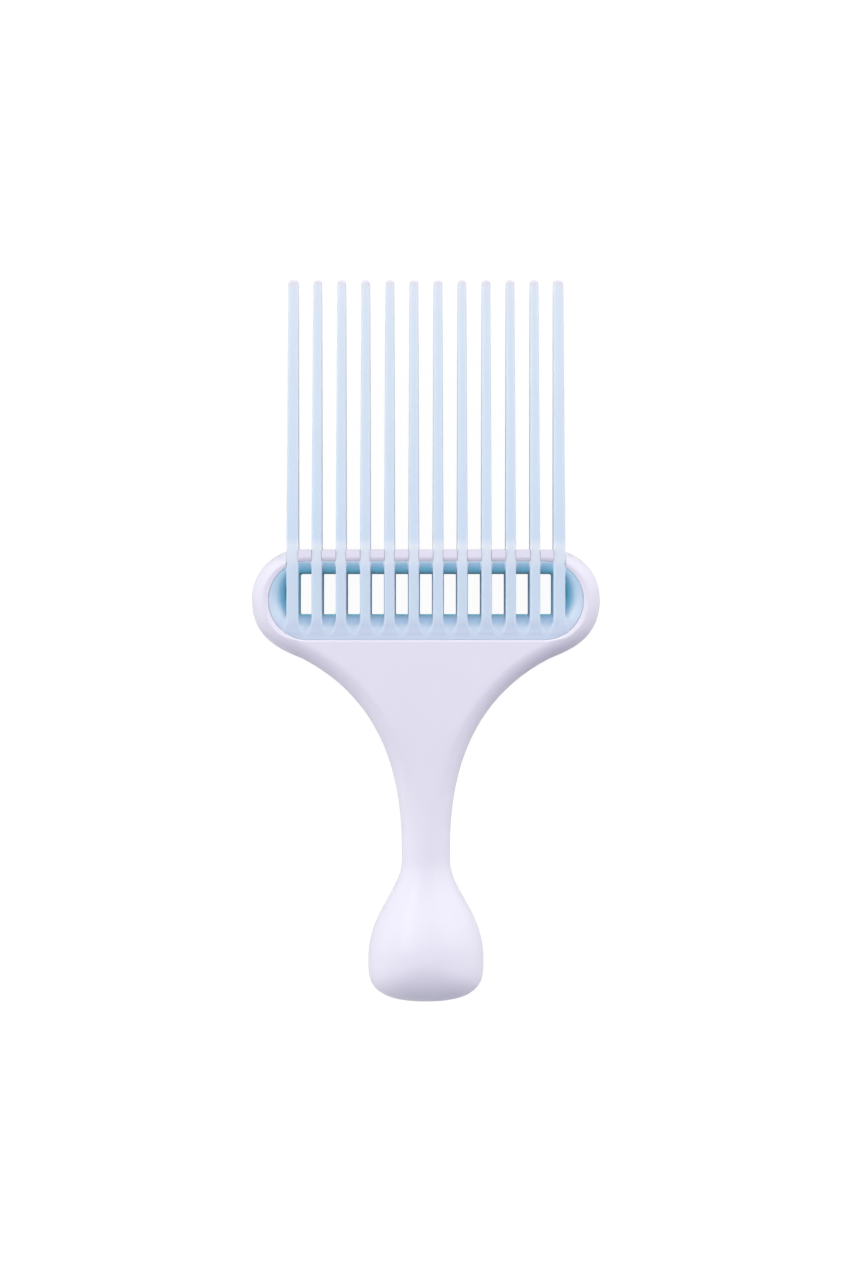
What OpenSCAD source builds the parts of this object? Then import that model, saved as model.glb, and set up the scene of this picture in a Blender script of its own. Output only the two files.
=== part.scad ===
// Afro pick: a hollow handle in two shells that carries a one-piece comb with blade teeth.
// It lies on its back: X across, Y along the teeth, Z out of the front face.

/* [Teeth] */
// Number of teeth
tooth_count = 12; // [8:1:12]
// Distance between the centres of neighbouring teeth
tooth_pitch = 6; // [5.4:0.1:6.6]
// Length of the teeth beyond the edge of the head
tooth_length = 67.2; // [50:0.2:80]
// Width of a tooth where it leaves the head
tooth_w = 2.5; // [2.2:0.05:2.8]
// Width of a tooth just below its rounded tip
tip_w = 1.8; // [1.4:0.05:2]
// Width of a tooth where it grows out of the dish
flare_w = 4.2; // [3.4:0.1:5]
// Width that the first and the last tooth have over the others
end_tooth_extra = 0.4; // [0:0.05:0.6]
// Depth of a tooth, front to back, at its tip
tip_depth = 2; // [1.6:0.1:2.6]
// Drop of the tip's front edge below the front edge at the head
tip_drop = 4; // [2:0.2:5]
// Rounding of the four edges of a tooth
tooth_round = 0.5; // [0.2:0.05:0.6]

/* [Dish and window] */
// Height of the through window, along the teeth
window_h = 10.2; // [8:0.1:10.6]
// Radius of the window's corners
window_corner_r = 0.7; // [0.5:0.1:2]
// Ledge between the rolled wall of the dish and the window
window_land = 0.2; // [0.1:0.05:0.4]
// Run of the rolled wall on the side of the teeth
roll_top = 2.5; // [2.3:0.1:3.4]
// Run of the rolled wall on the side of the handle
roll_bottom = 5.8; // [5:0.1:7]
// Run of the rolled wall past the first and the last tooth
roll_end = 3.8; // [3.4:0.1:5]
// Flat rim round the dish
dish_rim = 0.3; // [0.2:0.05:0.6]
// Depth of the rolled wall below the rim of the dish
roll_depth = 5; // [4.4:0.1:6.6]
// Depth from the rim of the dish to the back of a blade inside the window
blade_depth = 6.8; // [6:0.1:8]
// Thickness of the dish's plate
plate_t = 3.4; // [3:0.1:4]
// Wall of the sleeve that lines the window, and of the wells in the shells
sleeve_wall = 1.6; // [1.2:0.1:2]

/* [Head] */
// Thickness of the head
head_t = 12; // [11:0.2:14]
// Bar of the head between the dish and the teeth
rim_top = 3.1; // [2.7:0.1:3.4]
// Width of the ring past each end of the dish
rim_end = 4.5; // [3.4:0.1:6]
// Radius of the head's ends
head_end_r = 12.4; // [11:0.1:13]
// Distance that the dish lies below the front face
dish_sink = 0.5; // [0.4:0.1:1.2]
// Rounding of the front and back edges of the head
edge_round = 4.2; // [3.6:0.1:5]
// Bevel of the edge round the dish
well_bevel = 0.4; // [0.2:0.05:0.6]

/* [Handle] */
// Distance from the head's edge to the steepest point of the flare
flare_from_edge = 27.4; // [26:0.2:32]
// Half width of the handle at the steepest point of the flare
flare_half_w = 30.6; // [26:0.1:32]
// Distance from the head's edge to the narrowest point of the neck
neck_from_edge = 77.6; // [66:0.2:90]
// Width of the neck
neck_w = 12; // [11:0.2:16]
// Thickness of the neck
neck_t = 9.6; // [9:0.2:11]
// Distance from the neck to the widest point of the bulb
bulb_from_neck = 24.4; // [20:0.2:34]
// Width of the bulb
bulb_w = 28.7; // [24:0.1:34]
// Thickness of the bulb
bulb_t = 16; // [14:0.2:20]
// Distance from the widest point of the bulb to its end
bulb_end = 10.8; // [8:0.2:14]

/* [Shells] */
// Wall of both shells
wall = 2; // [1.8:0.05:2.2]
// Thickness of the tongue along the parting line
tongue_t = 0.8; // [0.6:0.05:0.9]
// Height of the tongue
tongue_h = 1; // [0.6:0.1:1.4]
// Diameter of the locating pegs and of the comb's posts
peg_d = 2.4; // [2:0.1:2.6]
// Length of the pegs and posts below the parting plane
peg_l = 2.4; // [1.6:0.1:2.6]
// Wall round each peg's socket
socket_wall = 1.2; // [1:0.1:1.4]

/* [Fits] */
// Gap all round between the comb and the shells
seat_gap = 0.1; // [0.05:0.05:0.2]
// Gap all round a peg or a post in its socket, and beside the tongue
peg_gap = 0.1; // [0.05:0.05:0.15]

/* [Hidden] */
lavender = [0.86, 0.85, 0.93];
pale_blue = [0.77, 0.85, 0.95];

// Smoothness: steps of each stretch of the outline, rings of the roundings, and round holes
arc_steps = 10;
flare_steps = 8;
taper_steps = 14;
bulb_steps = 10;
end_steps = 9;
outer_rings = 7;
inner_rings = 4;
stadium_steps = 12;
roll_rings = 7;
corner_steps = 2;
round_steps = 48;

// Run of every cutter past the face that it opens, and of every root into its piece
overrun = 1;

// Comb and dish, from the middle of the row of teeth outwards
comb_half = (tooth_count - 1) * tooth_pitch / 2;
end_tooth_w = tooth_w + end_tooth_extra;
window_half = comb_half - end_tooth_w / 2 + window_land;
throat_half = comb_half + end_tooth_w / 2 + end_tooth_extra;
throat_h = window_h + 2 * window_land;
dish_half = throat_half + roll_end + dish_rim;
dish_h = throat_h + roll_top + roll_bottom + 2 * dish_rim;
head_half = dish_half + rim_end;

// Places along Y, with the object's box centred on the origin
overall_length = tooth_length + neck_from_edge + bulb_from_neck + bulb_end;
tip_y = overall_length / 2;
end_y = -overall_length / 2;
edge_y = tip_y - tooth_length;
flare_y = edge_y - flare_from_edge;
neck_y = edge_y - neck_from_edge;
bulb_y = neck_y - bulb_from_neck;
dish_top_y = edge_y - rim_top;
dish_bottom_y = dish_top_y - dish_h;
throat_top_y = dish_top_y - dish_rim - roll_top;
throat_bottom_y = throat_top_y - throat_h;
throat_y = (throat_top_y + throat_bottom_y) / 2;

// Places along Z, from the plane that the back lies on
part_z = head_t / 2;
rim_z = head_t - dish_sink;
ledge_z = rim_z - plate_t;
throat_z = rim_z - roll_depth;
blade_z = rim_z - blade_depth;
tooth_back_z = ledge_z + seat_gap;
tooth_front_z = rim_z + dish_sink / 2;
sleeve_z = seat_gap;
peg_z = part_z - peg_l;

function mix(a, b, t) = a + (b - a) * t;
function ease(t) = let (c = min(1, max(0, t))) c * c * (3 - 2 * c);
function unit(v) = v / norm(v);

// Points of a Bezier curve after its first one
function curve(a, b, c, d, steps) = [
    for (i = [1:steps])
        let (t = i / steps, s = 1 - t)
            a * s * s * s + b * (3 * s * s * t) + c * (3 * s * t * t) + d * (t * t * t)
];

// Right half of the handle's outline, from the corner of the head down to the end of the bulb.
// The shares give how far each curve keeps to the direction in which it starts or ends.
end_pull_share = 0.73;
flare_slope_shares = [0.14, 0.07];
taper_slope_shares = [0.5, 0.26];
neck_in_share = 0.21;
neck_out_share = 0.3;
bulb_in_share = 0.47;
bulb_pull_share = 0.42;
base_pull_share = 1.06;
head_corner = [head_half - head_end_r, edge_y - head_end_r];
head_side = [head_half, head_corner.y];
flare_point = [flare_half_w, flare_y];
neck_point = [neck_w / 2, neck_y];
bulb_point = [bulb_w / 2, bulb_y];
end_point = [0, end_y];
flare_run = head_side.y - flare_y;
taper_run = flare_y - neck_y;
outline = concat(
    [
        for (i = [0:arc_steps])
            let (a = 90 - 90 * i / arc_steps)
                head_corner + head_end_r * [cos(a), sin(a)]
    ],
    curve(head_side, head_side - [0, flare_run * end_pull_share],
        flare_point + flare_from_edge * flare_slope_shares, flare_point, flare_steps),
    curve(flare_point, flare_point - taper_run * taper_slope_shares,
        neck_point + [0, taper_run * neck_in_share], neck_point, taper_steps),
    curve(neck_point, neck_point - [0, bulb_from_neck * neck_out_share],
        bulb_point + [0, bulb_from_neck * bulb_in_share], bulb_point, bulb_steps),
    curve(bulb_point, bulb_point - [0, bulb_end * bulb_pull_share],
        end_point + [bulb_point.x * base_pull_share, 0], end_point, end_steps)
);
last = len(outline) - 1;

// Inward normal of the outline at each of its points
normals = [
    for (i = [0:last])
        i == 0 ? [0, -1]
        : i == last ? [0, 1]
        : let (along = unit(outline[i + 1] - outline[i - 1])) [along.y, -along.x]
];

// The head is rounded along its edge alone, and below it the rounding widens until, from the neck
// on, it meets in the middle line. The bulb closes round its crown.
spine_start_share = 0.3;
crown_share = 0.05;
spine_y = mix(flare_y, neck_y, spine_start_share);
crown_y = bulb_y + bulb_end * crown_share;
function reach(p, normal, edge) =
    let (w = ease((spine_y - p.y) / (spine_y - neck_y)))
        normal * edge * (1 - w) + ([0, max(p.y, crown_y)] - p) * w;

// Rise of the front and of the back over the parting plane, along the handle
head_rise = head_t / 2;
neck_rise = neck_t / 2;
function rise(y, bulb_rise) =
    y > neck_y ? mix(head_rise, neck_rise, ease((flare_y - y) / taper_run))
    : mix(neck_rise, bulb_rise, ease((neck_y - y) / (neck_y - crown_y)));

// Closed loop of points from those of the right half, clockwise from above
function mirrored(row) = concat(row, [
    for (i = [len(row) - 2:-1:0]) [for (k = [0:len(row[i]) - 1]) k == 0 ? -row[i][0] : row[i][k]]
]);

// Triangles between the loops of a loft, without the ones that have no area
function loft_sides(points, rows, n) = [
    for (k = [0:rows - 2], j = [0:n - 1])
        let (a = k * n + j, b = k * n + (j + 1) % n, c = b + n, d = a + n)
            each concat([[a, b, c]], points[c] == points[d] ? [] : [[a, c, d]])
];

// Solid through a list of convex loops
module loft(rows) {
    n = len(rows[0]);
    points = [for (row = rows) each row];
    first_cap = [for (j = [n - 1:-1:0]) j];
    last_cap = [for (j = [0:n - 1]) (len(rows) - 1) * n + j];
    polyhedron(points, concat([first_cap], loft_sides(points, len(rows), n), [last_cap]));
}

// Half of the handle's body on the parting plane, risen to the crown's height, inset all over
module half_body(bulb_rise, rings, inset = 0, base = 0) {
    shape = [for (i = [0:last]) outline[i] + normals[i] * inset];
    foot = base == 0 ? [] : [[for (p = shape) [p.x, p.y, -base]]];
    rows = concat(foot, [
        for (k = [0:rings])
            let (a = 90 * k / rings)
                [for (i = [0:last])
                    let (p = shape[i] + reach(shape[i], normals[i], edge_round - inset) * (1 - cos(a)))
                        [p.x, p.y, (rise(p.y, bulb_rise) - inset) * sin(a)]]
    ]);
    n = 2 * last + 1;
    points = [for (row = rows) each mirrored(row)];
    top = (len(rows) - 1) * n;
    bottom_cap = [
        for (i = [0:last - 1])
            i == last - 1 ? [n - 1 - i, last, i] : [n - 1 - i, n - 2 - i, i + 1, i]
    ];
    top_cap = [
        for (i = [0:last - 1])
            if (points[top + i].x > 0) [top + i, top + i + 1, top + n - 2 - i, top + n - 1 - i]
    ];
    polyhedron(points, concat(bottom_cap, loft_sides(points, len(rows), n), top_cap));
}

module front_body(rings, inset = 0, base = 0) {
    translate([0, 0, part_z]) half_body(bulb_t - head_rise, rings, inset, base);
}

module rear_body(rings, inset = 0, base = 0) {
    translate([0, 0, part_z]) mirror([0, 0, 1]) half_body(head_rise, rings, inset, base);
}

// Wall that follows the outline between two insets
module outline_wall(outer, inner, z0, z1) {
    translate([0, 0, z0]) linear_extrude(z1 - z0) difference() {
        polygon(mirrored([for (i = [0:last]) outline[i] + normals[i] * outer]));
        polygon(mirrored([for (i = [0:last]) outline[i] + normals[i] * inner]));
    }
}

// Upright block with round ends, given by half its length and by its edges along Y
module stadium(half, y0, y1, z0, z1) {
    r = (y1 - y0) / 2;
    translate([0, (y0 + y1) / 2, z0]) {
        for (side = [-1, 1])
            translate([side * (half - r), 0, 0]) cylinder(r = r, h = z1 - z0, $fn = round_steps);
        translate([r - half, -r, 0]) cube([2 * (half - r), 2 * r, z1 - z0]);
    }
}

// The same block with walls that lean outwards by grow over its height
module stadium_bevel(half, y0, y1, z0, z1, grow) {
    r = (y1 - y0) / 2;
    h = z1 - z0;
    translate([0, (y0 + y1) / 2, z0]) {
        for (side = [-1, 1])
            translate([side * (half - r), 0, 0])
                cylinder(r1 = r, r2 = r + grow, h = h, $fn = round_steps);
        rotate([90, 0, 90]) linear_extrude(2 * (half - r), center = true)
            polygon([[-r, 0], [r, 0], [r + grow, h], [-r - grow, h]]);
    }
}

// Places of the pegs that join the shells, and of the posts under the dish
peg_shares = [0.45, 0.5];
post_shares = [0.35, 0.93];
post_y = (dish_bottom_y + throat_bottom_y - sleeve_wall) / 2;
post_reach = dish_half - dish_h / 2;
peg_places = [
    [-flare_half_w * peg_shares[0], flare_y],
    [flare_half_w * peg_shares[0], flare_y],
    [0, mix(flare_y, neck_y, peg_shares[1])],
    [0, neck_y],
    [0, crown_y]
];
post_places = [for (side = [-1, 1], share = post_shares) [side * post_reach * share, post_y]];
boss_d = peg_d + 2 * (peg_gap + socket_wall);

module pins(places, d, z0, z1) {
    for (p = places)
        translate([p.x, p.y, z0]) cylinder(d = d, h = z1 - z0, $fn = round_steps);
}

// Opening for the comb's sleeve, grown by a gap or a wall
module sleeve_room(grow, z0, z1) {
    stadium(throat_half + sleeve_wall + grow, throat_bottom_y - sleeve_wall - grow,
        throat_top_y + sleeve_wall + grow, z0, z1);
}

module tooth_notches() {
    for (i = [0:tooth_count - 1]) {
        w = (i == 0 || i == tooth_count - 1 ? end_tooth_w : tooth_w) + 2 * seat_gap;
        translate([i * tooth_pitch - comb_half - w / 2, dish_top_y - overrun, ledge_z])
            cube([w, rim_top + 2 * overrun, head_t]);
    }
}

module front_shell() color(lavender) {
    difference() {
        front_body(outer_rings);
        difference() {
            front_body(inner_rings, wall, overrun);
            stadium(dish_half + sleeve_wall, dish_bottom_y - sleeve_wall,
                dish_top_y + sleeve_wall, 0, head_t);
            pins(peg_places, boss_d, 0, bulb_t);
        }
        stadium(dish_half, dish_bottom_y, dish_top_y, ledge_z, head_t + overrun);
        stadium_bevel(dish_half, dish_bottom_y, dish_top_y, rim_z, head_t + dish_sink, 2 * well_bevel);
        sleeve_room(seat_gap, 0, head_t);
        tooth_notches();
        pins(post_places, peg_d + 2 * peg_gap, 0, head_t);
    }
    outline_wall(wall - peg_gap - tongue_t, wall - peg_gap, part_z - tongue_h, part_z + tongue_h / 2);
    pins(peg_places, peg_d, peg_z, part_z + overrun);
}

module rear_shell() color(lavender) {
    difference() {
        rear_body(outer_rings);
        difference() {
            rear_body(inner_rings, wall, overrun);
            sleeve_room(seat_gap + sleeve_wall, 0, head_t);
            pins(concat(peg_places, post_places), boss_d, 0, head_t);
        }
        sleeve_room(seat_gap, -overrun, head_t);
        outline_wall(wall - 2 * peg_gap - tongue_t, wall + tongue_t / 2,
            part_z - tongue_h - peg_gap, head_t);
        pins(concat(peg_places, post_places), peg_d + 2 * peg_gap, peg_z - peg_gap, head_t);
    }
}

// Loops of the dish's rolled wall, from the throat up to the rim and past it
function stadium_row(half, y0, y1, z) =
    let (r = (y1 - y0) / 2, y = (y0 + y1) / 2)
        [for (side = [1, -1], i = [0:stadium_steps])
            let (a = side * 90 - 180 * i / stadium_steps)
                [side * (half - r) + r * cos(a), y + r * sin(a), z]];
function roll_row(run, z) = stadium_row(throat_half + roll_end * run,
    throat_bottom_y - roll_bottom * run, throat_top_y + roll_top * run, z);

module rolled_dish() {
    loft(concat(
        [
            for (k = [0:roll_rings])
                let (a = 90 * k / roll_rings) roll_row(1 - cos(a), throat_z + roll_depth * sin(a))
        ],
        [roll_row(1, rim_z + overrun)]
    ));
}

module window() {
    x = window_half - window_corner_r;
    y = window_h / 2 - window_corner_r;
    translate([0, throat_y, -overrun]) linear_extrude(throat_z + 2 * overrun) {
        square([2 * window_half, 2 * y], center = true);
        square([2 * x, window_h], center = true);
        for (p = [[-x, -y], [x, -y], [-x, y], [x, y]])
            translate(p) circle(r = window_corner_r, $fn = round_steps);
    }
}

// Section of a tooth across Y: a rounded rectangle between its back and its front
function tooth_section(y, w, back, front) =
    let (r = min(tooth_round, w / 4, (front - back) / 4))
        [for (corner = [[1, -1], [1, 1], [-1, 1], [-1, -1]], i = [0:corner_steps])
            let (start = corner.x > 0 ? (corner.y > 0 ? 0 : -90) : (corner.y > 0 ? 90 : 180),
                a = start + 90 * i / corner_steps,
                centre = [corner.x * (w / 2 - r), corner.y > 0 ? front - r : back + r])
                [centre.x + r * cos(a), y, centre.y + r * sin(a)]];

// Stretches of a tooth: shares of the way from the dish to the window, and of the free length
root_share = 0.8;
root_mid_share = 0.42;
root_flare_share = 0.3;
wall_shares = [0.25, 0.75];
free_shares = [0, 0.3, 0.6, 0.85];
tip_angles = [0, 30, 55, 75];

module tooth(extra) {
    end_w = tip_w + extra;
    tip_front_z = tooth_front_z - tip_drop;
    tip_y0 = tip_y - end_w / 2;
    root = [
        [throat_bottom_y - roll_bottom * root_share, flare_w, tooth_back_z, rim_z - dish_sink / 2],
        [throat_bottom_y - roll_bottom * root_mid_share, mix(tooth_w, flare_w, root_flare_share),
            tooth_back_z, rim_z],
        [throat_bottom_y - sleeve_wall * wall_shares[1], tooth_w, tooth_back_z, rim_z],
        [throat_bottom_y - sleeve_wall * wall_shares[0], tooth_w, blade_z, rim_z],
        [throat_top_y + sleeve_wall * wall_shares[0], tooth_w, blade_z, tooth_front_z],
        [throat_top_y + sleeve_wall * wall_shares[1], tooth_w, tooth_back_z, tooth_front_z]
    ];
    free = [
        for (s = free_shares)
            [mix(edge_y, tip_y0, s), mix(tooth_w, tip_w, s),
                mix(tooth_back_z, tip_front_z - tip_depth, s), tooth_front_z - tip_drop * s]
    ];
    tip = [
        for (a = tip_angles)
            [tip_y0 + end_w / 2 * sin(a), end_w * cos(a) - extra,
                tip_front_z - tip_depth / 2 * (1 + cos(a)), tip_front_z - tip_depth / 2 * (1 - cos(a))]
    ];
    loft([for (s = concat(root, free, tip)) tooth_section(s[0], s[1] + extra, s[2], s[3])]);
}

module comb_insert() color(pale_blue) {
    difference() {
        union() {
            stadium(dish_half - seat_gap, dish_bottom_y + seat_gap, dish_top_y - seat_gap,
                ledge_z, rim_z);
            sleeve_room(0, sleeve_z, ledge_z + overrun);
            pins(post_places, peg_d, peg_z, ledge_z + overrun);
        }
        rolled_dish();
        window();
    }
    for (i = [0:tooth_count - 1])
        translate([i * tooth_pitch - comb_half, 0, 0])
            tooth(i == 0 || i == tooth_count - 1 ? end_tooth_extra : 0);
}

front_shell();
rear_shell();
comb_insert();
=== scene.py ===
import math

import bpy
import numpy as np
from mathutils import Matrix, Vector


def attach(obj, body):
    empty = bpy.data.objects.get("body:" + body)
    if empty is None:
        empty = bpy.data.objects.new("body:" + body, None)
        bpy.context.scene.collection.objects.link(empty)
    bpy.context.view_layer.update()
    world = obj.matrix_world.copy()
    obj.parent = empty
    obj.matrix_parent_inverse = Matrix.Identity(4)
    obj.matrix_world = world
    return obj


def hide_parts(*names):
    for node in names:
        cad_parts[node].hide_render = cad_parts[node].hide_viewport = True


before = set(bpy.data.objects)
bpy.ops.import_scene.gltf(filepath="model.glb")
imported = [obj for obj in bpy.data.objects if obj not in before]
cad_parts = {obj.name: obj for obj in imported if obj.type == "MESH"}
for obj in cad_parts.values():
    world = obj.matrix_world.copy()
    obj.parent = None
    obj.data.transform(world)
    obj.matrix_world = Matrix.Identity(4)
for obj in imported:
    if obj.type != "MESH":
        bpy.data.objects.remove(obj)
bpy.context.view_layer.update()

# Sizes are in millimetres. Down to the roundings they are the same as in the part's source.
MM = 0.001

TEETH, PITCH = 12, 6.0
TOOTH_W, TIP_W, FLARE_W, END_EXTRA = 2.5, 1.8, 4.2, 0.4
TIP_DEPTH, TIP_DROP, TOOTH_ROUND = 2.0, 4.0, 0.5
WINDOW_H, WINDOW_R, WINDOW_LAND = 10.2, 0.7, 0.2
ROLL_TOP, ROLL_BOTTOM, ROLL_END, DISH_RIM = 2.5, 5.8, 3.8, 0.3
ROLL_DEPTH, BLADE_DEPTH, PLATE_T, SLEEVE_WALL = 5.0, 6.8, 3.4, 1.6
HEAD_T, RIM_TOP, RIM_END, HEAD_END_R, DISH_SINK = 12.0, 3.1, 4.5, 12.4, 0.5
EDGE_ROUND = 4.2
FLARE_FROM_EDGE, FLARE_HALF, NECK_FROM_EDGE = 27.4, 30.6, 77.6
NECK_W, NECK_T, BULB_FROM_NECK, BULB_W, BULB_T, BULB_END = 12.0, 9.6, 24.4, 28.7, 16.0, 10.8
PEG_D, PEG_L, SEAT_GAP = 2.4, 2.4, 0.1
TOOTH_LENGTH = 67.2
SPINE_SHARE, CROWN_SHARE = 0.3, 0.05

COMB_HALF = (TEETH - 1) * PITCH / 2
END_TOOTH_W = TOOTH_W + END_EXTRA
WINDOW_HALF = COMB_HALF - END_TOOTH_W / 2 + WINDOW_LAND
THROAT_HALF = COMB_HALF + END_TOOTH_W / 2 + END_EXTRA
THROAT_H = WINDOW_H + 2 * WINDOW_LAND
DISH_HALF = THROAT_HALF + ROLL_END + DISH_RIM
DISH_H = THROAT_H + ROLL_TOP + ROLL_BOTTOM + 2 * DISH_RIM
HEAD_HALF = DISH_HALF + RIM_END

TIP_Y = (TOOTH_LENGTH + NECK_FROM_EDGE + BULB_FROM_NECK + BULB_END) / 2
END_Y = -TIP_Y
EDGE_Y = TIP_Y - TOOTH_LENGTH
FLARE_Y = EDGE_Y - FLARE_FROM_EDGE
NECK_Y = EDGE_Y - NECK_FROM_EDGE
BULB_Y = NECK_Y - BULB_FROM_NECK
DISH_TOP_Y = EDGE_Y - RIM_TOP
DISH_BOTTOM_Y = DISH_TOP_Y - DISH_H
THROAT_TOP_Y = DISH_TOP_Y - DISH_RIM - ROLL_TOP
THROAT_BOTTOM_Y = THROAT_TOP_Y - THROAT_H
THROAT_Y = (THROAT_TOP_Y + THROAT_BOTTOM_Y) / 2
SPINE_Y = FLARE_Y + SPINE_SHARE * (NECK_Y - FLARE_Y)
CROWN_Y = BULB_Y + CROWN_SHARE * BULB_END

PART_Z = HEAD_T / 2
RIM_Z = HEAD_T - DISH_SINK
LEDGE_Z = RIM_Z - PLATE_T
THROAT_Z = RIM_Z - ROLL_DEPTH
BLADE_Z = RIM_Z - BLADE_DEPTH
TOOTH_BACK_Z = LEDGE_Z + SEAT_GAP
TOOTH_FRONT_Z = RIM_Z + DISH_SINK / 2
SLEEVE_Z = SEAT_GAP
PEG_Z = PART_Z - PEG_L

# Shares of a stretch of the outline that the handles of its curves reach, from the head to the bulb
SIDE_SHARE, FLARE_UP_SHARES, FLARE_DOWN_SHARES, NECK_UP_SHARE = 0.73, (0.14, 0.07), (0.5, 0.26), 0.21
NECK_DOWN_SHARE, BULB_UP_SHARE, BULB_DOWN_SHARE, END_SHARE = 0.3, 0.47, 0.42, 1.06
# Shares of the roll below the throat, and of the sleeve's wall, where a tooth's section changes
ROOT_SHARE, MIDDLE_SHARE, MIDDLE_FLARE_SHARE = 0.8, 0.42, 0.3
SLEEVE_OUT_SHARE, SLEEVE_IN_SHARE = 0.75, 0.25
POST_SHARES = 0.35, 0.93

# From here on, sizes that the source doesn't have. Edges that it leaves sharp are rounded: round the
# well, at the notches, at the dish's rim and at the window. The seam round the dish and the teeth is
# tighter in view than the source's gap.
LIP_ROUND, NOTCH_ROUND, RIM_ROUND, WINDOW_ROUND, SLOPE_ROUND = 0.08, 0.06, 0.04, 0.15, 0.03
SEAM = 0.03
# Fillets of the teeth in the dish, near the notches and beside the window, and how the teeth's own
# edges turn rounder towards the tips, and sharper where they cross the bar
ROOT_ROUND, NOTCH_ROOT_ROUND, ROOT_FADE = 0.9, 0.15, 1.0
WINDOW_ROOT_ROUND, WINDOW_FADE = 0.2, 1.2
TIP_ROUND, TIP_RUN = 0.85, 5.0
BAR_TOOTH_ROUND, BAR_TOOTH_IN, BAR_TOOTH_OUT = 0.12, 0.9, 0.4
# The parting line's groove, and how fast a tooth widens towards its back, so that it leaves its mould
GROOVE_DEPTH, GROOVE_HALF, DRAFT = 0.12, 0.22, 0.04
# The bar that the teeth leave through has a tighter edge, which fades out below it and past the teeth
BAR_EDGE, BAR_BELOW, BAR_FADE_Y, BAR_PAST, BAR_FADE_X = 0.35, 8.0, 3.0, 3.0, 4.0
# How wide the handle slopes down to the dish's rim, and how far in from the ends the width changes
SLOPE_BELOW, SLOPE_ABOVE, SLOPE_END, SLOPE_POWER, SLOPE_SPARE = 0.35, 0.9, 2.2, 1.3, 0.2
SLOPE_FADE_Y, SLOPE_FROM_END, SLOPE_FADE_X = 2.0, 7.0, 5.0
# The window sits above the throat's middle, and the tips end short of the source's
WINDOW_SHIFT, TIP_CLEAR = 0.17, 0.05
WINDOW_Y = THROAT_Y + WINDOW_SHIFT
# Overlap that joins solids, how far inside the dish the notches start, and how steep the skin's
# field is
JOIN, NOTCH_START, SKIN_SCALE = 1.0, 1.0, 1.2


def mix(a, b, t):
    return a + (b - a) * t


def ease(t):
    t = np.clip(t, 0.0, 1.0)
    return t * t * (3.0 - 2.0 * t)


def smooth_max(a, b, k):
    """The larger of two fields, with the edge where they meet rounded over about k."""
    h = np.clip(0.5 + 0.5 * (a - b) / k, 0.0, 1.0)
    return mix(b, a, h) + k * h * (1.0 - h)


def smooth_min(a, b, k):
    return -smooth_max(-a, -b, k)


def stadium(x, y, half, y0, y1):
    """Distance outside an oblong with round ends, given by half its length and its edges along Y."""
    r = (y1 - y0) / 2
    return np.hypot(np.maximum(np.abs(x) - (half - r), 0.0), y - (y0 + y1) / 2) - r


CURVE_STEPS = 500


def bezier(a, b, c, d):
    """Points along a cubic curve from a to d."""
    t = np.linspace(0.0, 1.0, CURVE_STEPS)[:, None]
    s = 1.0 - t
    return a * s**3 + b * 3 * s * s * t + c * 3 * s * t * t + d * t**3


def handle_outline(step):
    """Points along the right half of the handle's outline, evenly spaced, and their inward normals."""
    point = lambda x, y: np.array([x, y])
    corner = point(HEAD_HALF - HEAD_END_R, EDGE_Y - HEAD_END_R)
    side = point(HEAD_HALF, corner[1])
    flare, neck = point(FLARE_HALF, FLARE_Y), point(NECK_W / 2, NECK_Y)
    bulb, end = point(BULB_W / 2, BULB_Y), point(0.0, END_Y)
    taper = FLARE_Y - NECK_Y
    angle = np.linspace(math.pi / 2, 0.0, CURVE_STEPS)[:, None]
    path = np.concatenate([
        point(0.0, EDGE_Y)[None],
        corner + HEAD_END_R * np.hstack([np.cos(angle), np.sin(angle)]),
        bezier(side, side - point(0, (side[1] - FLARE_Y) * SIDE_SHARE),
               flare + FLARE_FROM_EDGE * point(*FLARE_UP_SHARES), flare),
        bezier(flare, flare - taper * point(*FLARE_DOWN_SHARES),
               neck + point(0, taper * NECK_UP_SHARE), neck),
        bezier(neck, neck - point(0, BULB_FROM_NECK * NECK_DOWN_SHARE),
               bulb + point(0, BULB_FROM_NECK * BULB_UP_SHARE), bulb),
        bezier(bulb, bulb - point(0, BULB_END * BULB_DOWN_SHARE),
               end + point(bulb[0] * END_SHARE, 0), end),
    ])
    length = np.concatenate([[0.0], np.cumsum(np.linalg.norm(np.diff(path, axis=0), axis=1))])
    at = np.linspace(0.0, length[-1], int(length[-1] / step))
    points = np.stack([np.interp(at, length, path[:, i]) for i in (0, 1)], axis=1)
    along = np.gradient(points, axis=0)
    along[0] = (1.0, 0.0)
    along[-1] = (-1.0, 0.0)
    along /= np.linalg.norm(along, axis=1)[:, None]
    return points, np.stack([along[:, 1], -along[:, 0]], axis=1)


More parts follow.
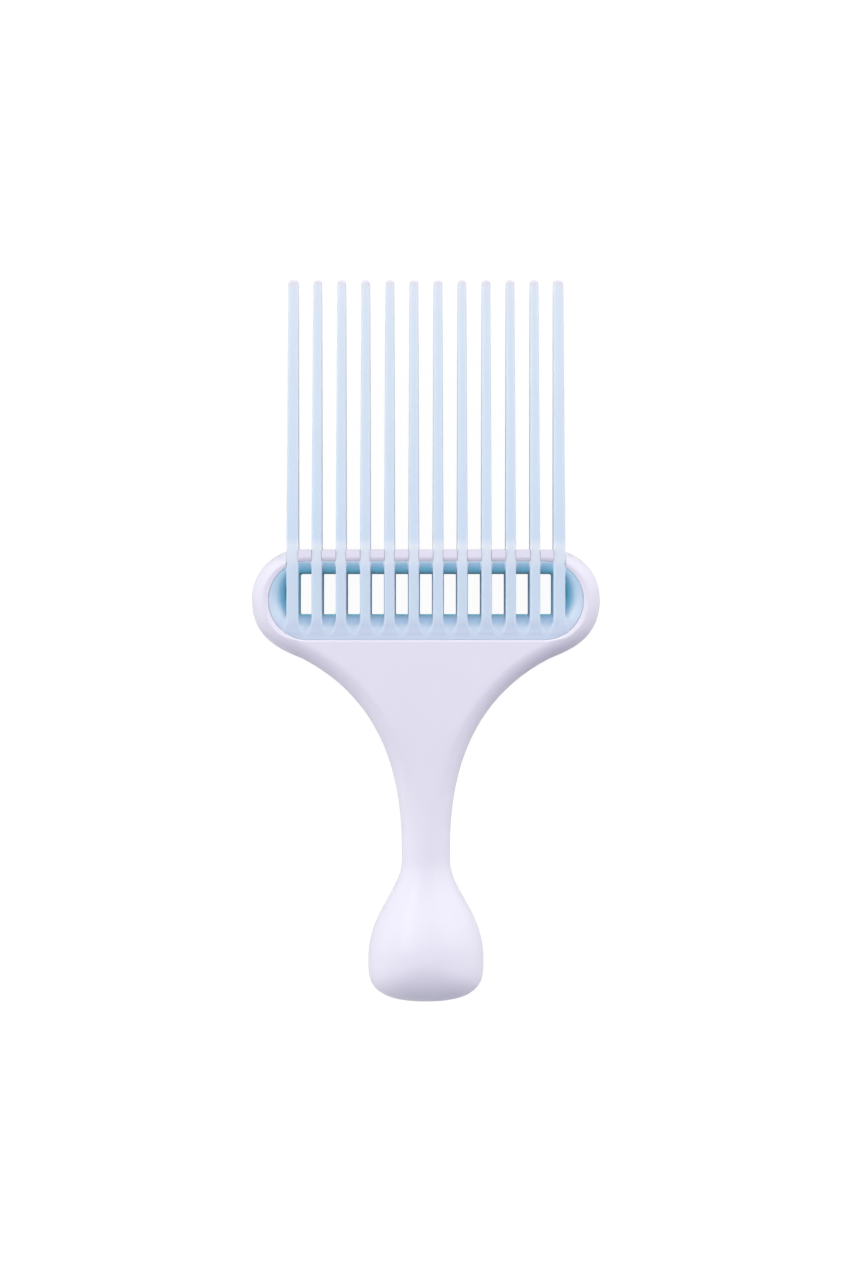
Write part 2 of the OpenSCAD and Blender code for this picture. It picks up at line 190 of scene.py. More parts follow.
class Outline:
    """Looks up how far a point lies inside the handle's outline, and how wide the outline is there."""

    STEP, CELL, REACH, MARGIN = 0.12, 0.5, 9, 2.0
    CROWN_BLEND, LEAST_HALF = 3.0, 0.5

    def __init__(self):
        self.points, self.normals = handle_outline(self.STEP)
        self.low = np.array([0.0, END_Y - self.MARGIN])
        high = np.array([HEAD_HALF + self.MARGIN, EDGE_Y + self.MARGIN])
        counts = ((high - self.low) / self.CELL).astype(int) + 1
        ys = self.low[1] + self.CELL * np.arange(counts[1])
        self.nearest = np.stack([
            np.argmin((self.low[0] + self.CELL * i - self.points[:, 0]) ** 2
                      + (ys[:, None] - self.points[:, 1]) ** 2, axis=1)
            for i in range(counts[0])
        ])
        around_crown = self.points[self.points[:, 1] <= NECK_Y] - (0.0, CROWN_Y)
        self.angles = np.arctan2(around_crown[:, 1], around_crown[:, 0])[::-1]
        self.radii = np.hypot(around_crown[:, 0], around_crown[:, 1])[::-1]

    def inset(self, x, y):
        """Distance inside the outline, measured at the nearest of its points near the looked-up one."""
        x, y = np.broadcast_arrays(np.abs(x), y)
        i = np.clip(np.rint((x - self.low[0]) / self.CELL).astype(int), 0, self.nearest.shape[0] - 1)
        j = np.clip(np.rint((y - self.low[1]) / self.CELL).astype(int), 0, self.nearest.shape[1] - 1)
        first = self.nearest[i, j]
        best, index = np.full(x.shape, np.inf), first
        for step in range(-self.REACH, self.REACH + 1):
            k = np.clip(first + step, 0, len(self.points) - 1)
            apart = (x - self.points[k, 0]) ** 2 + (y - self.points[k, 1]) ** 2
            index = np.where(apart < best, k, index)
            best = np.minimum(apart, best)
        point, normal = self.points[index], self.normals[index]
        return (x - point[..., 0]) * normal[..., 0] + (y - point[..., 1]) * normal[..., 1]

    def from_spine(self, x, y):
        """Square of the share of the way from the middle line, or the bulb's crown, to the outline."""
        half = np.interp(y, self.points[::-1, 1], self.points[::-1, 0])
        across = (x / np.maximum(half, self.LEAST_HALF)) ** 2
        up = y - CROWN_Y
        radius = np.interp(np.arctan2(up, np.abs(x)), self.angles, self.radii)
        closing = (x * x + up * up) / radius**2
        return mix(across, closing, ease((self.CROWN_BLEND - up) / (2 * self.CROWN_BLEND)))


OUTLINE = Outline()


def rise(y, bulb_rise):
    """Height of a shell over the parting plane, from the flat head by way of the neck to the bulb."""
    neck = mix(HEAD_T / 2, NECK_T / 2, ease((FLARE_Y - y) / (FLARE_Y - NECK_Y)))
    return mix(neck, bulb_rise, ease((NECK_Y - y) / (NECK_Y - CROWN_Y)))


def tooth_offset(x):
    """Distance from the middle of the nearest tooth, and how much wider that tooth is than most."""
    number = np.clip(np.rint((x + COMB_HALF) / PITCH), 0, TEETH - 1)
    extra = np.where((number == 0) | (number == TEETH - 1), END_EXTRA, 0.0)
    return np.abs(x + COMB_HALF - number * PITCH), extra


def tooth_flank(x, width, z):
    """Distance outside the flank of the nearest tooth, which is given its width at the front."""
    off, extra = tooth_offset(x)
    return off - (width + extra) / 2 - DRAFT * np.maximum(TOOTH_FRONT_Z - z, 0.0)


def skin_field(x, y, z):
    """Below zero inside the handle's outer skin, with the groove of the parting line."""
    over, inset = z - PART_Z, OUTLINE.inset(x, y)
    flat = (1.0 - np.minimum(inset / EDGE_ROUND, 1.0)) ** 2
    bar = 1.0 - np.clip(inset / BAR_EDGE, 0.0, 1.0) ** 2
    at_bar = ease((y - EDGE_Y + BAR_BELOW) / BAR_FADE_Y)
    at_bar = at_bar * ease((COMB_HALF + BAR_PAST - np.abs(x)) / BAR_FADE_X)
    flat = np.where(over > 0, mix(flat, bar, at_bar), flat)
    section = mix(flat, OUTLINE.from_spine(x, y), ease((SPINE_Y - y) / (SPINE_Y - NECK_Y)))
    height = over / np.where(over > 0, rise(y, BULB_T - HEAD_T / 2), rise(y, HEAD_T / 2))
    skin = (np.sqrt(section + height**2) - 1.0) * EDGE_ROUND * SKIN_SCALE
    return skin + GROOVE_DEPTH * np.clip(1.0 - np.abs(over) / GROOVE_HALF, 0.0, 1.0)


def rim_slope(x, y, z, out):
    """Height over the slope of the head's front face round the dish, and well below zero elsewhere."""
    slope = mix(SLOPE_BELOW, SLOPE_ABOVE, ease((y - THROAT_Y) / SLOPE_FADE_Y))
    slope = mix(slope, SLOPE_END, ease((np.abs(x) - DISH_HALF + SLOPE_FROM_END) / SLOPE_FADE_X))
    short = 1.0 - np.clip(out / slope, 0.0, 1.0)
    return np.where(out < slope + SLOPE_SPARE, z - HEAD_T + DISH_SINK * short**SLOPE_POWER, -HEAD_T)


def handle_field(x, y, z):
    """Below zero inside the handle: both shells, closed, with the well, the notches and the groove."""
    out = stadium(x, y, DISH_HALF, DISH_BOTTOM_Y, DISH_TOP_Y)
    body = smooth_max(skin_field(x, y, z), rim_slope(x, y, z, out), SLOPE_ROUND)
    well = np.maximum(out, LEDGE_Z - z)
    sleeve = stadium(x, y, THROAT_HALF + SLEEVE_WALL + SEAT_GAP,
                     THROAT_BOTTOM_Y - SLEEVE_WALL - SEAT_GAP, THROAT_TOP_Y + SLEEVE_WALL + SEAT_GAP)
    notch = np.maximum(tooth_flank(x, TOOTH_W, z) - SEAM, DISH_TOP_Y - NOTCH_START - y)
    notch = np.maximum(notch, LEDGE_Z - z)
    cut = np.maximum(smooth_max(body, -well, LIP_ROUND), -sleeve)
    return smooth_max(cut, -notch, NOTCH_ROUND)


def front_field(x, y, z):
    """The half of the handle in front of the parting plane."""
    return np.maximum(handle_field(x, y, z), PART_Z - z)


def rear_field(x, y, z):
    """The half of the handle behind the parting plane."""
    return np.maximum(handle_field(x, y, z), z - PART_Z)


# The roll's share is found in a few rounds, and may pass the throat and the rim by this much
ROLL_ROUNDS, RUN_LOW, RUN_HIGH = 8, -0.6, 1.6


def roll_run(x, y):
    """Share of the way up the dish's rolled wall, in plan: 0 at the throat and 1 at the rim."""
    run = np.zeros(np.broadcast(x, y).shape)
    for _ in range(ROLL_ROUNDS):
        gap = stadium(x, y, THROAT_HALF + ROLL_END * run, THROAT_BOTTOM_Y - ROLL_BOTTOM * run,
                      THROAT_TOP_Y + ROLL_TOP * run)
        run = np.clip(run + gap * 2 / (ROLL_TOP + ROLL_BOTTOM), RUN_LOW, RUN_HIGH)
    return run


# Stretches of a tooth: place along Y, width, back and front, as in the source
TIP_Y0 = TIP_Y - TIP_W / 2
TOOTH_ROWS = np.array([
    (THROAT_BOTTOM_Y - ROLL_BOTTOM * ROOT_SHARE, FLARE_W, TOOTH_BACK_Z, RIM_Z - DISH_SINK / 2),
    (THROAT_BOTTOM_Y - ROLL_BOTTOM * MIDDLE_SHARE, mix(TOOTH_W, FLARE_W, MIDDLE_FLARE_SHARE),
     TOOTH_BACK_Z, RIM_Z),
    (THROAT_BOTTOM_Y - SLEEVE_WALL * SLEEVE_OUT_SHARE, TOOTH_W, TOOTH_BACK_Z, RIM_Z),
    (THROAT_BOTTOM_Y - SLEEVE_WALL * SLEEVE_IN_SHARE, TOOTH_W, BLADE_Z, RIM_Z),
    (THROAT_TOP_Y + SLEEVE_WALL * SLEEVE_IN_SHARE, TOOTH_W, BLADE_Z, TOOTH_FRONT_Z),
    (THROAT_TOP_Y + SLEEVE_WALL * SLEEVE_OUT_SHARE, TOOTH_W, TOOTH_BACK_Z, TOOTH_FRONT_Z),
    (EDGE_Y, TOOTH_W, TOOTH_BACK_Z, TOOTH_FRONT_Z),
    (TIP_Y0, TIP_W, TOOTH_FRONT_Z - TIP_DROP - TIP_DEPTH, TOOTH_FRONT_Z - TIP_DROP),
])


def teeth_field(x, y, z):
    """Below zero inside the teeth, which are rounded boxes whose section follows the rows."""
    width, back, front = (np.interp(y, TOOTH_ROWS[:, 0], TOOTH_ROWS[:, i]) for i in (1, 2, 3))
    r = mix(TOOTH_ROUND, TIP_ROUND, ease((y - TIP_Y + TIP_RUN) / TIP_RUN))
    at_bar = ease(y - DISH_TOP_Y + BAR_TOOTH_IN) * ease(EDGE_Y + BAR_TOOTH_OUT - y)
    r = mix(r, BAR_TOOTH_ROUND, at_bar)
    side = tooth_flank(x, width, z) + r
    end = np.maximum(y - TIP_Y + TIP_CLEAR, TOOTH_ROWS[0, 0] - y) + r
    face = np.abs(z - (back + front) / 2) - (front - back) / 2 + r
    out = np.sqrt(np.maximum(side, 0) ** 2 + np.maximum(end, 0) ** 2 + np.maximum(face, 0) ** 2)
    return out + np.minimum(np.maximum(np.maximum(side, end), face), 0.0) - r


def window_field(x, y):
    """Distance outside the window, an oblong with slightly rounded corners."""
    ax, ay = np.abs(x) - WINDOW_HALF + WINDOW_R, np.abs(y - WINDOW_Y) - WINDOW_H / 2 + WINDOW_R
    return np.hypot(np.maximum(ax, 0), np.maximum(ay, 0)) + np.minimum(np.maximum(ax, ay), 0) - WINDOW_R


def comb_field(x, y, z):
    """Below zero inside the comb: plate, sleeve and posts less dish and window, and then the teeth."""
    plate = stadium(x, y, DISH_HALF - SEAM, DISH_BOTTOM_Y + SEAM, DISH_TOP_Y - SEAM)
    plate = np.maximum(smooth_max(plate, z - RIM_Z, RIM_ROUND), LEDGE_Z - z)
    sleeve = stadium(x, y, THROAT_HALF + SLEEVE_WALL, THROAT_BOTTOM_Y - SLEEVE_WALL,
                     THROAT_TOP_Y + SLEEVE_WALL)
    sleeve = np.maximum(np.maximum(sleeve, SLEEVE_Z - z), z - LEDGE_Z - JOIN)
    post_reach, post_y = DISH_HALF - DISH_H / 2, (DISH_BOTTOM_Y + THROAT_BOTTOM_Y - SLEEVE_WALL) / 2
    post = np.minimum(*(np.hypot(np.abs(x) - post_reach * s, y - post_y) for s in POST_SHARES))
    post = np.maximum(np.maximum(post - PEG_D / 2, PEG_Z - z), z - LEDGE_Z - JOIN)
    wall = np.maximum(1.0 - roll_run(x, y), 0.0)
    roll = (np.hypot(wall, np.maximum(z - THROAT_Z, 0.0) / ROLL_DEPTH) - 1.0) * ROLL_BOTTOM
    solid = np.minimum(np.minimum(plate, sleeve), post)
    solid = np.maximum(solid, np.minimum(roll, z - THROAT_Z))
    solid = smooth_max(solid, -window_field(x, y), WINDOW_ROUND)
    round_over = mix(ROOT_ROUND, NOTCH_ROOT_ROUND, ease((y - THROAT_TOP_Y) / (ROLL_TOP - ROOT_FADE)))
    by_window = ease(WINDOW_H / 2 + WINDOW_FADE - np.abs(y - WINDOW_Y))
    round_over = mix(round_over, np.minimum(round_over, WINDOW_ROOT_ROUND), by_window)
    return smooth_min(solid, teeth_field(x, y, z), round_over)


# How points are pulled onto a surface: the nudge that measures its slope, and the limits
NUDGE, LEAST_SLOPE, LONGEST_PULL, PULLS = 0.02, 0.04, 0.15, 3


def gradient(field, points):
    slope = np.empty_like(points)
    for axis in range(3):
        ahead, behind = points.copy(), points.copy()
        ahead[:, axis] += NUDGE
        behind[:, axis] -= NUDGE
        slope[:, axis] = (field(*ahead.T) - field(*behind.T)) / (2 * NUDGE)
    return slope


def pulled_to(field, points):
    """The points after a few short pulls along the field's slope to where it is zero."""
    for _ in range(PULLS):
        slope = gradient(field, points)
        size = np.maximum((slope**2).sum(axis=1), LEAST_SLOPE)
        move = slope * (field(*points.T) / size)[:, None]
        length = np.linalg.norm(move, axis=1)
        points = points - move * np.minimum(1.0, LONGEST_PULL / np.maximum(length, 1e-9))[:, None]
    return points


def surface(field, xs, ys, zs):
    """Points and quads of the closed surface where a field is zero, with one point in each cell of
    the grid that it crosses."""
    values = field(xs[:, None, None], ys[None, :, None], zs[None, None, :])
    inside = values < 0
    cells = tuple(n - 1 for n in values.shape)
    total, count = np.zeros(cells + (3,)), np.zeros(cells, np.int32)
    axes, quads = (xs, ys, zs), []
    for a in range(3):
        b, c = (a + 1) % 3, (a + 2) % 3
        low, high = [slice(None)] * 3, [slice(None)] * 3
        low[a], high[a] = slice(None, -1), slice(1, None)
        crossed = np.argwhere(inside[tuple(low)] != inside[tuple(high)])
        at, nxt = tuple(crossed.T), crossed.copy()
        nxt[:, a] += 1
        v0, v1 = values[at], values[tuple(nxt.T)]
        where = np.stack([axes[i][crossed[:, i]] for i in range(3)], axis=1)
        where[:, a] += (axes[a][nxt[:, a]] - axes[a][crossed[:, a]]) * v0 / (v0 - v1)
        corners = []
        for db, dc in ((-1, -1), (0, -1), (0, 0), (-1, 0)):
            cell = crossed.copy()
            cell[:, b] += db
            cell[:, c] += dc
            flat = np.ravel_multi_index(tuple(cell.T), cells)
            np.add.at(count.reshape(-1), flat, 1)
            np.add.at(total.reshape(-1, 3), flat, where)
            corners.append(flat)
        corners = np.stack(corners, axis=1)
        corners[v0 > 0] = corners[v0 > 0][:, ::-1]
        quads.append(corners)
    used = np.flatnonzero(count)
    number = np.zeros(count.size, np.int64)
    number[used] = np.arange(len(used))
    points = total.reshape(-1, 3)[used] / count.reshape(-1)[used][:, None]
    return pulled_to(field, points), number[np.concatenate(quads)]


# Angle in degrees between two faces from which the edge between them is shaded sharp
SHARP_FROM = 40


def make_piece(name, points, quads, node, material):
    """A smooth piece of one material that stands in for one of the part's nodes."""
    mesh = bpy.data.meshes.new(name)
    mesh.from_pydata(points * MM, [], quads)
    mesh.materials.append(material)
    piece = bpy.data.objects.new(name, mesh)
    bpy.context.scene.collection.objects.link(piece)
    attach(piece, "root")
    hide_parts(node)
    piece.data.shade_smooth()
    piece.data.set_sharp_from_angle(angle=math.radians(SHARP_FROM))


def steps_between(*stretches):
    """Grid values from stretches of (start, end, step), each start being the end before it."""
    rows = [np.linspace(a, b, max(int(round((b - a) / step)), 1) + 1)[1:] for a, b, step in stretches]
    return np.concatenate([[stretches[0][0]]] + rows)


# How far from an edge the thin cells of the grid start and end, and how near the next ones may come
THIN_IN, THIN_OUT, THIN_CLEAR = 0.05, 0.16, 0.04


def sharpened(values, edges):
    """Grid values with a thin cell round each edge, so that the surface keeps the edge crisp."""
    edges = np.asarray(edges, float)
    kept = values[np.abs(values[:, None] - edges[None, :]).min(axis=1) > THIN_OUT + THIN_CLEAR]
    beside = [edges + d for d in (-THIN_OUT, -THIN_IN, THIN_IN, THIN_OUT)]
    return np.unique(np.concatenate([kept] + beside))


def linear(r, g, b):
    """A colour given as it looks on screen, as the shader's linear values."""
    return tuple(((c + 0.055) / 1.055) ** 2.4 if c > 0.04045 else c / 12.92 for c in (r, g, b))


class Graph:
    """Adds nodes to a material or world. An input is a value or another node's output."""

    def __init__(self, owner):
        owner.use_nodes = True
        self.tree = owner.node_tree
        self.tree.nodes.clear()

    def add(self, kind, inputs=None, **settings):
        node = self.tree.nodes.new("ShaderNode" + kind)
        for key, value in settings.items():
            setattr(node, key, value)
        for key, value in (inputs or {}).items():
            if isinstance(value, bpy.types.NodeSocket):
                self.tree.links.new(value, node.inputs[key])
            else:
                node.inputs[key].default_value = value
        return node

    def colours(self, factor, stops):
        """A colour ramp through (position, screen colour) stops."""
        ramp = self.add("ValToRGB", {"Fac": factor})
        while len(ramp.color_ramp.elements) < len(stops):
            ramp.color_ramp.elements.new(0.5)
        for element, (position, colour) in zip(ramp.color_ramp.elements, stops):
            element.position = position
            element.color = linear(*colour) + (1.0,)
        return ramp.outputs["Color"]

    def greys(self, factor, stops):
        """A ramp through (position, screen brightness) stops."""
        return self.colours(factor, [(position, (grey, grey, grey)) for position, grey in stops])

    def ranged(self, value, start, end):
        """The share of the way from start to end, both in millimetres, that a length has come."""
        reach = {"Value": value, "From Min": start * MM, "From Max": end * MM}
        return self.add("MapRange", reach).outputs[0]

    def worked(self, operation, *values):
        return self.add("Math", dict(enumerate(values)), operation=operation).outputs[0]

    def blended(self, share, first, second):
        return self.add("Mix", {0: share, 6: first, 7: second}, data_type="RGBA").outputs[2]


# Screen colour of the handle
LAVENDER = 0.862, 0.850, 0.910


def lavender(graph, place):
    return {"Base Color": clouded(graph, place, linear(*LAVENDER) + (1.0,))}


# Screen colours of the comb's front from below the window, over the bar, to the tips, each with its
# share of the way from the middle of the frame to the tips. Below the window the front is darker, a
# painted shade, and over the bar it is paler, a painted highlight
LOW_SHADE, ROOT, BAR_HIGHLIGHT = (0.740, 0.790, 0.875), (0.772, 0.832, 0.905), (0.840, 0.868, 0.917)
FACE_COLOUR_AND_PAINTED_LIGHT_STOPS = [
    (0.0, LOW_SHADE), (0.045, LOW_SHADE), (0.07, ROOT), (0.2, ROOT), (0.225, BAR_HIGHLIGHT), (0.262, BAR_HIGHLIGHT), (0.282, ROOT),
    (0.6, (0.795, 0.850, 0.912)), (0.978, (0.825, 0.862, 0.915)), (0.984, (0.85, 0.845, 0.895)),
    (1.0, (0.84, 0.83, 0.88))]
# In the dish, each by its share of the height up to the rim: screen colours of the wall, a painted
# shade and tint, how much of them shows, which is the strength of that painted shade, and how strongly
# the wall gives a painted glow, an emission that stands in for light passed through the thin plastic
WALL_PAINTED_SHADE_COLOURS = [(0.4, (0.62, 0.97, 1.0)), (0.6, (0.62, 0.89, 0.95)), (0.78, (0.58, 0.74, 0.86)),
              (0.93, (0.60, 0.75, 0.85))]
PAINTED_SHADE_STOPS = [(0.1, 0.0), (0.35, 1.0), (0.76, 1.0), (0.83, 0.98), (0.88, 0.78), (0.95, 0.4),
               (0.995, 0.0)]
PAINTED_GLOW_STOPS = [(0.55, 0.6), (0.72, 1.0), (0.82, 0.9), (0.9, 0.0)]
PAINTED_GLOW_ABOVE, PAINTED_GLOW_BELOW = (0.02, 0.12, 0.14, 1.0), (0.15, 0.15, 0.19, 1.0)
PAINTED_GLOW_ENDS = 0.03, 0.095, 0.09, 1.0
# How much deeper the wall's painted shade and colours reach at the dish's upper edge, which faces away
# from the light, how far beside a tooth they start and end, where they end below the bar, and where
# the painted glow fades in above and below the window and at the dish's ends
UPPER_SHADE_DROP, BESIDE, BESIDE_FADE, BELOW_BAR = 2.2, 0.2, 0.4, 0.5
GLOW_TOP_OUT, GLOW_TOP_IN, GLOW_LOW_IN, GLOW_LOW_OUT, GLOW_END_RUN = 2.2, 1.0, 0.6, 0.4, 2.0


def off_the_teeth(graph, across):
    """Distance from the middle line of the nearest tooth."""
    off = graph.worked("PINGPONG", graph.worked("ADD", across, -PITCH / 2 * MM), PITCH / 2 * MM)
    return graph.worked("MAXIMUM", off, graph.worked("ADD", across, -COMB_HALF * MM))


def painted_wall_glow(graph, at, across, level, inside):
    """Colour and strength of the painted glow on the dish's wall, an emission that stands in for light.
    """
    up_there = graph.ranged(at["Y"], THROAT_TOP_Y + GLOW_TOP_OUT, THROAT_TOP_Y + GLOW_TOP_IN)
    strength = graph.worked("MULTIPLY", graph.greys(level, PAINTED_GLOW_STOPS),
                            graph.worked("MULTIPLY", inside, up_there))
    down_there = graph.ranged(at["Y"], THROAT_BOTTOM_Y + GLOW_LOW_IN, THROAT_BOTTOM_Y - GLOW_LOW_OUT)
    tint = graph.blended(down_there, PAINTED_GLOW_ABOVE, PAINTED_GLOW_BELOW)
    at_ends = graph.ranged(across, COMB_HALF, COMB_HALF + GLOW_END_RUN)
    return graph.blended(at_ends, tint, PAINTED_GLOW_ENDS), strength


def pale_blue(graph, place):
    """Paler towards the tips; paler at the bar, a painted highlight; darker below the window and deeper
    and darker down in the dish, painted shade; and a faint painted glow there.
    """
    at = graph.add("SeparateXYZ", {"Vector": place}).outputs
    across = graph.worked("ABSOLUTE", at["X"])
    upper = graph.ranged(at["Y"], THROAT_BOTTOM_Y, DISH_TOP_Y)
    level = graph.ranged(graph.worked("MULTIPLY_ADD", upper, -UPPER_SHADE_DROP * MM, at["Z"]), 0.0, RIM_Z)
    beside = graph.ranged(off_the_teeth(graph, across), TOOTH_W / 2 + BESIDE, TOOTH_W / 2 + BESIDE_FADE)
    inside = graph.worked("MULTIPLY", beside, graph.ranged(at["Y"], DISH_TOP_Y, DISH_TOP_Y - BELOW_BAR))
    # Painted shade: the wall's deeper, darker blue, which reaches further down the upper wall
    painted_shade = graph.worked("MULTIPLY", graph.greys(level, PAINTED_SHADE_STOPS), inside)
    face = graph.colours(graph.ranged(at["Y"], 0.0, TIP_Y), FACE_COLOUR_AND_PAINTED_LIGHT_STOPS)
    both = graph.blended(painted_shade, face, graph.colours(level, WALL_PAINTED_SHADE_COLOURS))
    # Painted glow: the wall emits a little light, though it is no lamp
    tint, strength = painted_wall_glow(graph, at, across, level, inside)
    return {"Base Color": clouded(graph, place, both), "Emission Color": tint,
            "Emission Strength": strength}


def clouded(graph, place, colour):
    """The colour with faint clouds a few millimetres across."""
    cloud = graph.add("TexNoise", {"Vector": place, "Scale": 70.0, "Detail": 3.0, "Roughness": 0.55})
    value = graph.add("MapRange", {"Value": cloud.outputs["Fac"], "From Min": 0.25, "From Max": 0.75,
                                   "To Min": 0.985, "To Max": 1.015})
    hue = graph.add("HueSaturation", {"Value": value.outputs["Result"], "Color": colour})
    return hue.outputs["Color"]


def plastic(name, paint, coat):
    """Glossy moulded plastic: a clouded colour, uneven gloss and a fine skin of ripples."""
    material = bpy.data.materials.new(name)
    graph = Graph(material)
    place = graph.add("TexCoord").outputs["Object"]
    haze = graph.add("TexNoise", {"Vector": place, "Scale": 160.0, "Detail": 2.0, "Roughness": 0.5})
    gloss = graph.add("MapRange", {"Value": haze.outputs["Fac"], "From Min": 0.2, "From Max": 0.8,
                                   "To Min": 0.29, "To Max": 0.34})
    ripple = graph.add("TexNoise", {"Vector": place, "Scale": 900.0, "Detail": 2.0})
    bump = graph.add("Bump", {"Height": ripple.outputs["Fac"], "Strength": 0.12, "Distance": 0.00004})
    shader = graph.add("BsdfPrincipled", {
        "Roughness": gloss.outputs["Result"], "Normal": bump.outputs["Normal"], "Coat Weight": coat,
        "Coat Roughness": 0.12, "IOR": 1.45, **paint(graph, place)})
    graph.add("OutputMaterial", {"Surface": shader.outputs["BSDF"]})
    return material


def build_handle():
    """Both shells, on a grid that is finer at the head's ends and edges and thin at the notches."""
    ends, sides = COMB_HALF - PITCH / 2, HEAD_HALF + 0.65
    xs = steps_between((-sides, -ends, 0.25), (-ends, ends, 0.3), (ends, sides, 0.25))
    centres = PITCH * np.arange(TEETH) - COMB_HALF
    halves = (TOOTH_W + tooth_offset(centres)[1]) / 2 + SEAM + DRAFT
    xs = sharpened(xs, np.concatenate([centres - halves, centres + halves]))
    ys = steps_between((END_Y - 0.6, END_Y + 4, 0.3), (END_Y + 4, DISH_BOTTOM_Y - 3.5, 0.6),
                       (DISH_BOTTOM_Y - 3.5, EDGE_Y - 1.6, 0.25), (EDGE_Y - 1.6, EDGE_Y + 0.6, 0.15))
    ys = sharpened(ys, [DISH_BOTTOM_Y, DISH_TOP_Y, EDGE_Y - BAR_EDGE])
    front_zs = steps_between((PART_Z - 0.4, RIM_Z - 1.0, 0.3), (RIM_Z - 1.0, HEAD_T + 0.2, 0.2),
                             (HEAD_T + 0.2, BULB_T + 0.6, 0.3))
    rear_zs = steps_between((-0.3, PART_Z + 0.4, 0.3))
    material = plastic("lavender_plastic", lavender, 0.45)
    shells = ("front_shell", front_field, front_zs), ("rear_shell", rear_field, rear_zs)
    for node, field, zs in shells:
        points, quads = surface(field, xs, ys, sharpened(zs, [PART_Z]))
        make_piece(node + "_moulding", points, quads, node, material)


def build_comb():
    """The comb, on a grid that is finer at the tips, at the front face and round the window."""
    xs = steps_between((-DISH_HALF - 0.4, DISH_HALF + 0.4, 0.22))
    ys = steps_between((DISH_BOTTOM_Y - 0.3, EDGE_Y, 0.22), (EDGE_Y, TIP_Y - 4, 1.0),
                       (TIP_Y - 4, TIP_Y - 1, 0.25), (TIP_Y - 1, TIP_Y + 0.4, 0.12))
    ys = sharpened(ys, [DISH_BOTTOM_Y + SEAM, WINDOW_Y - WINDOW_H / 2, WINDOW_Y + WINDOW_H / 2,
                        DISH_TOP_Y - SEAM])
    tip_low, tip_high, face_low = 5.5, 8.5, RIM_Z - 1.5
    zs = steps_between((-0.25, tip_low, 0.25), (tip_low, tip_high, 0.15), (tip_high, face_low, 0.25),
                       (face_low, TOOTH_FRONT_Z + 0.45, 0.15))
    points, quads = surface(comb_field, xs, ys, zs)
    material = plastic("pale_blue_plastic", pale_blue, 0.3)
    make_piece("comb_moulding", points, quads, "comb_insert", material)


def by_ray(graph, lit, mirrored, seen):
    """One shader for rays that carry light, one for reflections and glass, and one for the camera."""
    ray = graph.add("LightPath").outputs
    share = graph.worked("MAXIMUM", ray["Is Glossy Ray"], ray["Is Transmission Ray"])
    mixed = graph.add("MixShader", {"Fac": share, 1: lit.outputs[0], 2: mirrored.outputs[0]})
    return graph.add("MixShader", {"Fac": ray["Is Camera Ray"], 1: mixed.outputs[0],
                                   2: seen.outputs[0]})


def build_floor():
    """A white floor that keeps the object's shadow, and takes little light back to the object."""
    half = 1.5
    mesh = bpy.data.meshes.new("floor")
    mesh.from_pydata([(-half, -half, 0), (half, -half, 0), (half, half, 0), (-half, half, 0)], [],
                     [(0, 1, 2, 3)])
    material = bpy.data.materials.new("floor_white")
    graph = Graph(material)
    plain = graph.add("BsdfDiffuse", {"Color": (0.18, 0.18, 0.21, 1.0)})
    shaded = graph.add("BsdfDiffuse", {"Color": (0.07, 0.07, 0.07, 1.0)})
    glow = graph.add("Emission", {"Strength": 0.96})
    seen = graph.add("AddShader", {0: shaded.outputs[0], 1: glow.outputs[0]})
    mirrored = graph.add("BsdfDiffuse", {"Color": (0.9, 0.9, 0.9, 1.0)})
    graph.add("OutputMaterial", {"Surface": by_ray(graph, plain, mirrored, seen).outputs[0]})
    mesh.materials.append(material)
    floor = bpy.data.objects.new("floor", mesh)
    bpy.context.scene.collection.objects.link(floor)


def build_camera():
    """The photo's view, straight from above: its height in pixels, and millimetres for each pixel."""
    photo_height, scale, distance = 1280, 0.25, 450.0
    data = bpy.data.cameras.new("camera")
    data.sensor_fit = "VERTICAL"
    data.sensor_height = 32.0
    data.lens = data.sensor_height * distance / (photo_height * scale)
    data.clip_start, data.clip_end = 0.01, 20.0
    camera = bpy.data.objects.new("camera", data)
    camera.location = (0.15 * MM, 0.19 * MM, (PART_Z + distance) * MM)
    bpy.context.scene.collection.objects.link(camera)
    bpy.context.scene.camera = camera


# Places and sizes of the lamps are in metres, and their powers in watts
LAMP_TARGET = 0, 0.25, 0


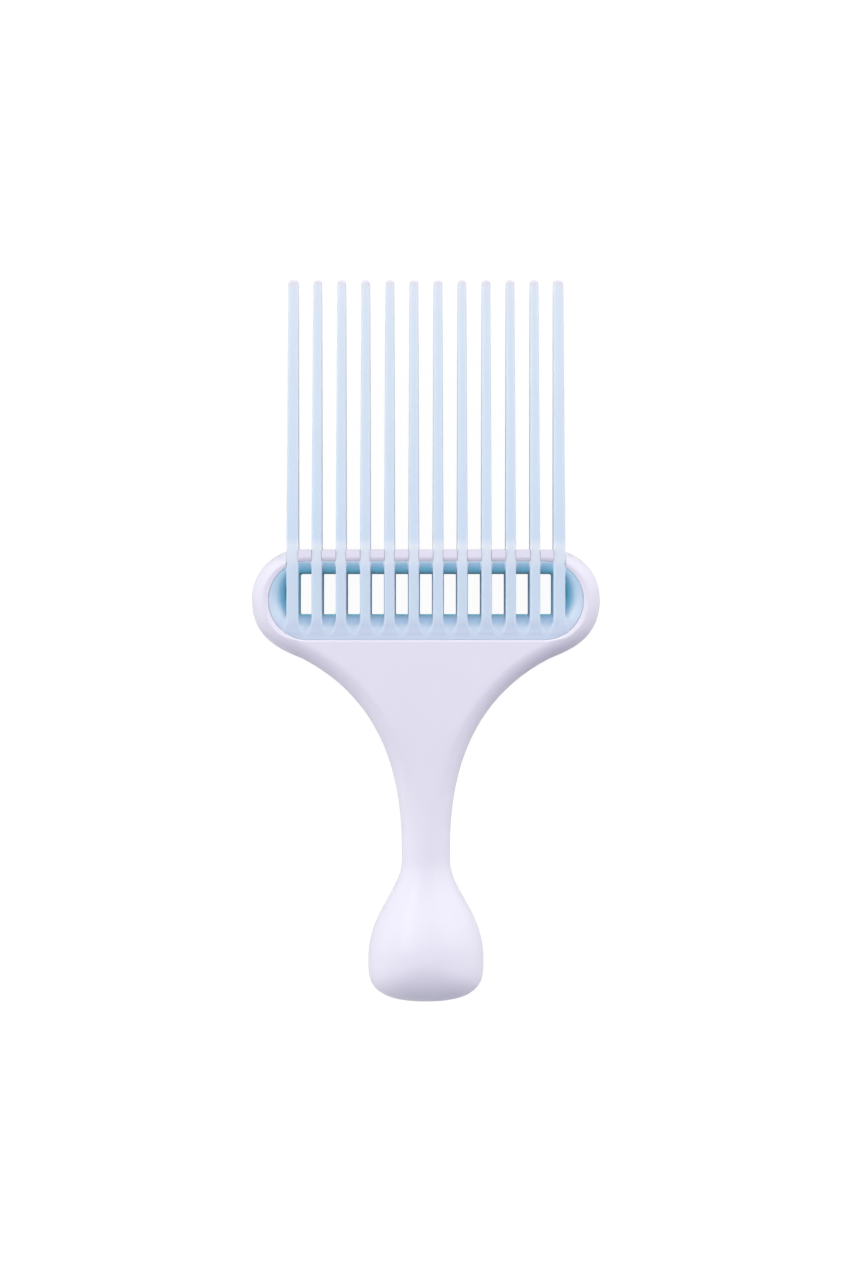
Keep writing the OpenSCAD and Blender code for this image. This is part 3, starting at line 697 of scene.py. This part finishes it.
def add_lamp(name, place, size, power):
    """A soft rectangular lamp that faces the place over the teeth."""
    data = bpy.data.lights.new(name, "AREA")
    data.color = (1.0, 0.995, 0.91)
    data.shape = "RECTANGLE"
    data.size, data.size_y = size
    data.energy = power
    lamp = bpy.data.objects.new(name, data)
    lamp.location = place
    facing = Vector(LAMP_TARGET) - Vector(place)
    lamp.rotation_euler = facing.to_track_quat("-Z", "Y").to_euler()
    bpy.context.scene.collection.objects.link(lamp)


def side_light(graph, way, start, end, strength):
    """The room's light from one side, which rises to its strength as the way turns to the end."""
    node = graph.add("MapRange", {"Value": way, "From Min": start, "From Max": end, "To Min": 0.0,
                                  "To Max": strength}, interpolation_type="SMOOTHSTEP")
    return node.outputs["Result"]


def build_light():
    """A room of soft light, strongest from the head's side, the left and the right, and two lamps."""
    add_lamp("left", (-0.50, 0.25, 0.8), (0.5, 0.32), 0.55)
    add_lamp("right", (0.60, 0.25, 0.8), (0.5, 0.5), 0.4)
    world = bpy.data.worlds.new("studio")
    graph = Graph(world)
    way = graph.add("SeparateXYZ", {"Vector": graph.add("TexCoord").outputs["Generated"]}).outputs
    level = side_light(graph, way["Y"], -0.1, 0.8, 0.95)
    level = graph.worked("ADD", side_light(graph, way["X"], -0.1, -0.9, 0.52), level)
    lights = (((-0.8, -1.0), 5.0, (-0.6, 0.1)), ((0.8, 1.0), 1.5, (-0.4, 0.2)),
              ((0.3, 0.95), 3.2, (-0.2, 0.5)))
    for across, strength, along in lights:
        side = side_light(graph, way["X"], *across, strength)
        part = side_light(graph, way["Y"], *along, 1.0)
        level = graph.worked("MULTIPLY_ADD", side, part, level)
    still = graph.add("Background", {"Color": (0.363, 0.354, 0.475, 1.0), "Strength": 1.0})
    soft = graph.add("Background", {"Color": (0.95, 0.97, 0.83, 1.0), "Strength": level})
    room = graph.add("AddShader", {0: still.outputs[0], 1: soft.outputs[0]})
    seen = graph.add("Background", {"Color": (1.0, 1.0, 1.0, 1.0), "Strength": 1.0})
    graph.add("OutputWorld", {"Surface": by_ray(graph, room, seen, seen).outputs[0]})
    bpy.context.scene.world = world


build_handle()
build_comb()
build_floor()
build_camera()
build_light()
bpy.context.scene.view_settings.view_transform = "Standard"
